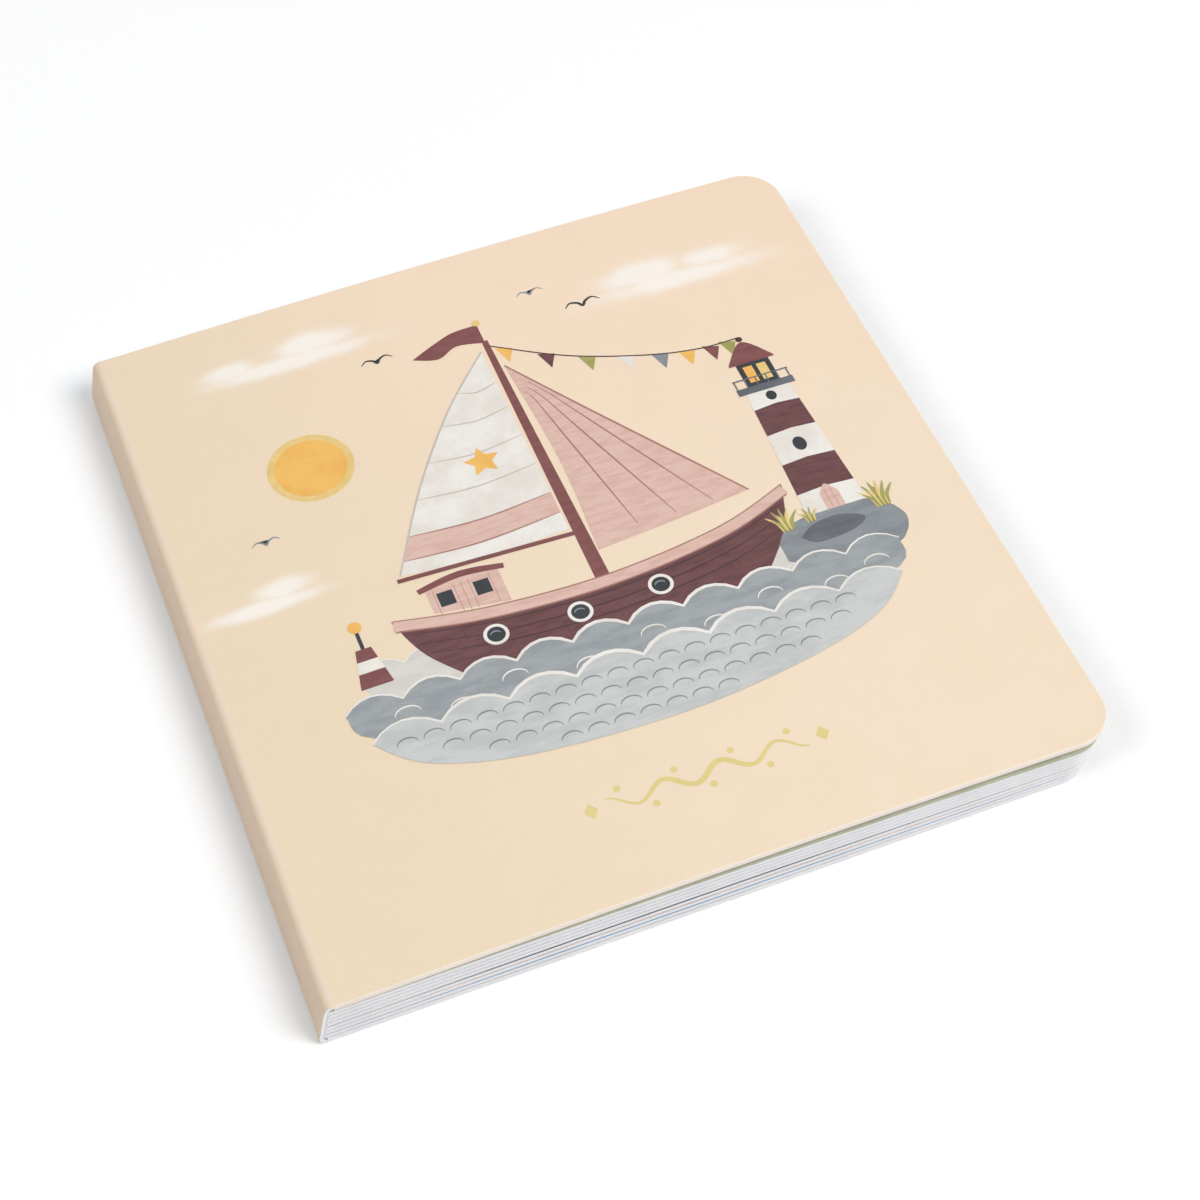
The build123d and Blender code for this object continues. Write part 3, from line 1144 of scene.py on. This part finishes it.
sail_band = [(leech_x(y), y) for y in (6, 8, 10, 12)] \
    + through([(leech_x(12), 12), (leech_x(12) / 2, 10.6), (0.6, 12)]) \
    + through([(0.6, 6), (leech_x(6) / 2, 4.8), (leech_x(6), 6)])
boat += [
    ([(1.0, -14), (1.7, 60), (3.1, 60), (4.2, -14)], "red brown", 2.2),
    (stroke([(-37.5, 1.4), (1.5, -0.6)], 1.6, 0.7), "red brown", 3.2),
    (main_sail, "canvas", 3),
    (sail_band, "rose", 4),
]
for y in (6, 12, 21, 30, 39, 47):
    seam = through([(leech_x(y) + 0.3, y), (leech_x(y) / 2, y - 1.3), (0.5, y)])
    boat.append((stroke(seam, 0.4), "rose line" if y < 20 else "seam", 5))
boat += [
    (stroke(leech, 0.45, 0.8), "seam", 5),
    (moved(star_outline(4.2), -10, 26), "sun", 6),
    (jib, "rose", 3),
]
for share in (0.28, 0.52, 0.76):
    seam = [(4.6 + (x - 4.0) * share, y if y < 40 else y - (y - 40) * (1 - share))
            for x, y in luff[2:]]
    boat.append((stroke(seam, 0.4), "rose line", 4))
boat += [
    (stroke(luff, 0.5, 0.8), "rose line", 4),
    (flag, "red brown", 3),
    (oval(2.4, 66.0, 1.0, 1.0, 16), "straw", 4),
]

# %% The bunting from the mast to the lighthouse
line_points = through([(3.0, 58), (18, 48.5), (34, 42), (46, 39.2), (55.5, 39.0)], 8)
boat.append((stroke(line_points, 0.35, 0.9), "dark maroon", 4))
pennant = [(-1.8, 0.6), (1.9, -0.7), (-0.1, -4.6)]
pennant_inks = ["sun", "maroon", "olive", "canvas", "slate", "sun", "red brown", "olive"]
for number, colour in enumerate(pennant_inks):
    x, y = line_points[2 + number * 4 - (number > 6)]
    boat.append((moved(pennant, x, y), colour, 3))
lay_print(drawn(boat), "print_boat", front_face, 1, "front_cover")

# %% [markdown]
# ## Sun, gulls, buoy and the gold ornament
#
# Small things fill the sky and the water. A plain wave with dots in pale gold stands under the
# picture, where such a cover has its line of gold.

# %% Small motifs
small_things = [
    (oval(-45, 39, 9.6, 9.6, 40), "straw", 0),
    (oval(-45, 39, 8.0, 8.0, 40), "sun", 1),
]
wings = through(
    [(-5.2, 0.4), (-3.4, 2.0), (-1.2, 1.4), (0, 0), (1.2, 1.5), (3.5, 2.3), (5.4, 0.8)])
for x, y, size, colour in [(27, 62, 0.8, "night"), (17, 70, 0.6, "slate"),
                           (-22, 63, 0.7, "night"), (-60, 22, 0.6, "slate")]:
    small_things.append((stroke(moved(wings, x, y, size), 0.9 * size, 0.2), colour, 1))
small_things += [
    ([(-53, -22.5), (-51.2, -12.5), (-47.8, -12.5), (-46, -22.5)], "red brown", 3),
    ([(-52.3, -18.6), (-51.75, -15.6), (-47.25, -15.6), (-46.7, -18.6)], "canvas", 4),
    (rectangle(-49.9, -12.5, -49.1, -7.5), "night", 3),
    (oval(-49.5, -6.6, 1.5, 1.5, 18), "sun", 4),
]
lay_print(drawn(small_things), "print_sky", front_face, 1, "front_cover")

# %% The gold ornament
ornament_x, ornament_y = 4, -67.5
diamond = [(-1.5, 0), (0, 1.9), (1.5, 0), (0, -1.9)]
wave_line = [(ornament_x + 0.75 * step, ornament_y + 1.7 * math.sin(math.pi * step / 8))
             for step in range(-28, 29)]
ornament = [(stroke(wave_line, 1.2, 0.3), "gold", 0)]
for number in range(-3, 4):
    rise = 3.06 if number % 2 else -3.06
    dot = oval(ornament_x + 6 * number, ornament_y + rise, 0.75, 0.75, 14)
    ornament.append((dot, "gold", 0))
for aside in (-24.5, 24.5):
    ornament.append((moved(diamond, ornament_x + aside, ornament_y), "gold", 0))
lay_print(drawn(ornament), "print_ornament", front_face, 1, "front_cover")

# %% [markdown]
# ## The pages inside
#
# The first and the last spread are plain washes with a sprinkled pattern, as endpapers have:
# small boats, waves, stars and dots in staggered rows. Each motif is drawn once. Copies of it,
# each with its own mesh, are moved to their places and joined to one print for each page.

# %% Motifs of the endpapers
def endpaper_motifs(light, dark):
    small_hull = through([(-4.2, -0.6), (0, -1.3), (4.2, -0.6)]) \
        + through([(4.2, -0.6), (2.6, -3.2), (-2.6, -3.2), (-4.2, -0.6)])
    small_sail = through([(-0.3, 4.6), (-1.8, 2.4), (-3.2, 0)]) + [(-0.3, -0.4)]
    small_boat = drawn([
        (small_hull, dark, 0),
        (small_sail, light, 0),
        ([(0.3, 3.9), (0.3, -0.4), (2.7, -0.1)], light, 0),
    ])
    waves = drawn([
        (stroke(moved(wave_arc, x, y, 0.9), 0.5), light, 0)
        for x, y in [(-2.1, 0.4), (2.1, 0.4), (0, -1.6)]
    ])
    dot = ink_shape(oval(0, 0, 0.9, 0.9, 16), dark, 0)
    return [small_boat, dot, waves, ink_shape(star_outline(2.0), light, 0)]


motif_rows = 9
motif_pitch_x = 16.5 * MM
motif_pitch_y = 18 * MM


def sprinkle(name, light, dark, carrier_height, side, body):
    """Copies the motifs in turn over a whole page, in staggered rows."""
    motifs = endpaper_motifs(light, dark)
    middle = (motif_rows - 1) / 2
    copies = []
    for row in range(motif_rows):
        for column in range(motif_rows - row % 2):
            x = motif_pitch_x * (column + (row % 2) / 2 - middle)
            y = motif_pitch_y * (row - middle)
            motif = motifs[(column + 2 * row) % len(motifs)]
            copy = motif.copy()
            copy.data = motif.data.copy()
            copy.data.transform(Matrix.Translation((x, y, 0)))
            bpy.context.collection.objects.link(copy)
            copies.append(copy)
    for motif in motifs:
        bpy.data.objects.remove(motif)
    lay_print(joined(copies), name, carrier_height, side, body)


# %% The endpapers
first_page = leaf_underside(top_leaf)
last_page = leaf_underside(0)
sprinkle("print_inner_front", "canvas", "moss", front_underside, -1, "front_cover")
sprinkle("print_first_page", "canvas", "moss", lambda x: first_page(x) + leaf_thickness, 1,
         "book_block")
sprinkle("print_last_page", "rose", "slate", last_page, -1, "book_block")
sprinkle("print_inner_back", "rose", "slate", lambda x: cover_thickness, 1, "back_cover")

# %% [markdown]
# ## Floor and light
#
# The book lies on a plain white sweep. The floor is white to the camera and a little darker to
# all other rays, so it doesn't throw too much light up at the book, and it keeps the shadows.
# Well away from the book it turns to an even white, as a sweep does that curves up behind. It
# lies a hair below the book, because the back cover turns about its own lower face: opened
# flat it lies level with the floor and shows its outer side.
# The strongest of three soft lamps stands to the right in front and throws the shadow beside the
# spine. A weaker one to the left throws the faint shade beside the fore edge, and the weakest one
# behind throws the hair of shade below the tail. The white sky fills the rest. Together they
# light a level surface with about one unit, so a colour looks as it is written. The strongest
# lamp is a little warm and the rest are a little cool.

# %% The floor
plain_white = (1, 1, 1, 1)
floor_for_camera = (0.947, 0.950, 0.957, 1)
floor_for_light = (0.85, 0.85, 0.86, 1)
floor_drop = 0.08 * MM
floor_size = 6

bpy.ops.mesh.primitive_plane_add(size=floor_size, location=(0, 0, -floor_drop))
floor = bpy.context.active_object
floor.name = "studio_floor"
pick(floor, "edges", lambda edge: True)
bpy.ops.mesh.subdivide(number_cuts=3)
bpy.ops.object.mode_set(mode="OBJECT")
floor_white, tree, place = start_material("Matt white paper sweep")
seen = add_node(tree, "LightPath", {}, {}).outputs["Is Camera Ray"]
paper = add_node(
    tree, "Mix", OF_COLOURS,
    {MIX_FACTOR: seen, MIX_A: floor_for_light, MIX_B: floor_for_camera},
)
matt = add_node(
    tree, "BsdfDiffuse", {}, {"Color": paper.outputs[MIX_COLOUR], "Roughness": 0.25})
from_book = add_node(tree, "VectorMath", {"operation": "LENGTH"}, {0: place})
far_off = add_node(
    tree, "MapRange", SMOOTH, {0: from_book.outputs["Value"], 1: 200 * MM, 2: 500 * MM})
seen_far_off = add_node(tree, "Math", {"operation": "MULTIPLY"}, {0: far_off, 1: seen})
white = add_node(tree, "Emission", {}, {"Color": plain_white, "Strength": 1.0})
sweep = add_node(tree, "MixShader", {}, {0: seen_far_off, 1: matt, 2: white})
add_node(tree, "OutputMaterial", {}, {"Surface": sweep})
floor.data.materials.append(floor_white)

# %% The sky
sky_strength = 0.375
sky_colour = (0.955, 0.985, 1.01, 1)

world = bpy.data.worlds.new("White studio")
bpy.context.scene.world = world
world.use_nodes = True
tree = world.node_tree
tree.nodes.clear()
seen = add_node(tree, "LightPath", {}, {}).outputs["Is Camera Ray"]
strength = add_node(tree, "MapRange", {}, {0: seen, 3: sky_strength})
sky_tint = add_node(
    tree, "Mix", OF_COLOURS, {MIX_FACTOR: seen, MIX_A: sky_colour, MIX_B: plain_white})
sky = add_node(
    tree, "Background", {}, {"Color": sky_tint.outputs[MIX_COLOUR], "Strength": strength})
add_node(tree, "OutputWorld", {}, {"Surface": sky})

# %% The lamps
lamp_distance = 2.2
warm_white = (1.0, 0.96, 0.925)
cool_white = (0.95, 0.98, 1.0)


def round_softbox(name, azimuth, elevation, size, energy, colour):
    """A round soft lamp that faces the book from a direction given in degrees."""
    around, up = math.radians(azimuth), math.radians(elevation)
    level_part = math.cos(up)
    toward_lamp = Vector(
        (level_part * math.cos(around), level_part * math.sin(around), math.sin(up)))
    bpy.ops.object.light_add(type="AREA", location=toward_lamp * lamp_distance)
    lamp = bpy.context.active_object
    lamp.name = name
    lamp.data.shape = "DISK"
    lamp.data.size = size
    lamp.data.energy = energy
    lamp.data.color = colour
    lamp.rotation_mode = "QUATERNION"
    lamp.rotation_quaternion = (-toward_lamp).to_track_quat("-Z", "Y")
    print(name, "at", [round(value, 3) for value in lamp.location])


# Name, azimuth and elevation in degrees, width in metres, watts and colour
round_softbox("key_softbox", -42, 49, 1.2, 28.9, warm_white)
round_softbox("fill_softbox", 186, 48, 1.15, 13.2, cool_white)
round_softbox("back_softbox", 72, 60, 1.2, 5.2, cool_white)

# %% [markdown]
# ## Camera
#
# The camera stands in front of the tail edge and a little to the left, about half a metre away,
# and looks down at 52 degrees. Its place and lens were fitted to the corners of the cover.

# %% The camera
camera_place = (-0.102891, -0.322060, 0.417174)
camera_right = Vector((0.93278, -0.35906, -0.03178)).normalized()
camera_back = Vector((-0.19928, -0.58713, 0.78458)).normalized()
camera_up = camera_back.cross(camera_right)

camera_data = bpy.data.cameras.new("camera")
camera = bpy.data.objects.new("camera", camera_data)
bpy.context.collection.objects.link(camera)
camera_data.sensor_width = 36.0
camera_data.lens = 74.797
camera_data.clip_start = 0.01
camera_data.clip_end = 20.0
turn = Matrix((camera_right, camera_up, camera_back)).transposed()
camera.matrix_world = Matrix.Translation(camera_place) @ turn.to_4x4()
bpy.context.scene.camera = camera
bpy.context.scene.view_settings.view_transform = "Standard"
print("camera up", [round(value, 3) for value in camera_up])
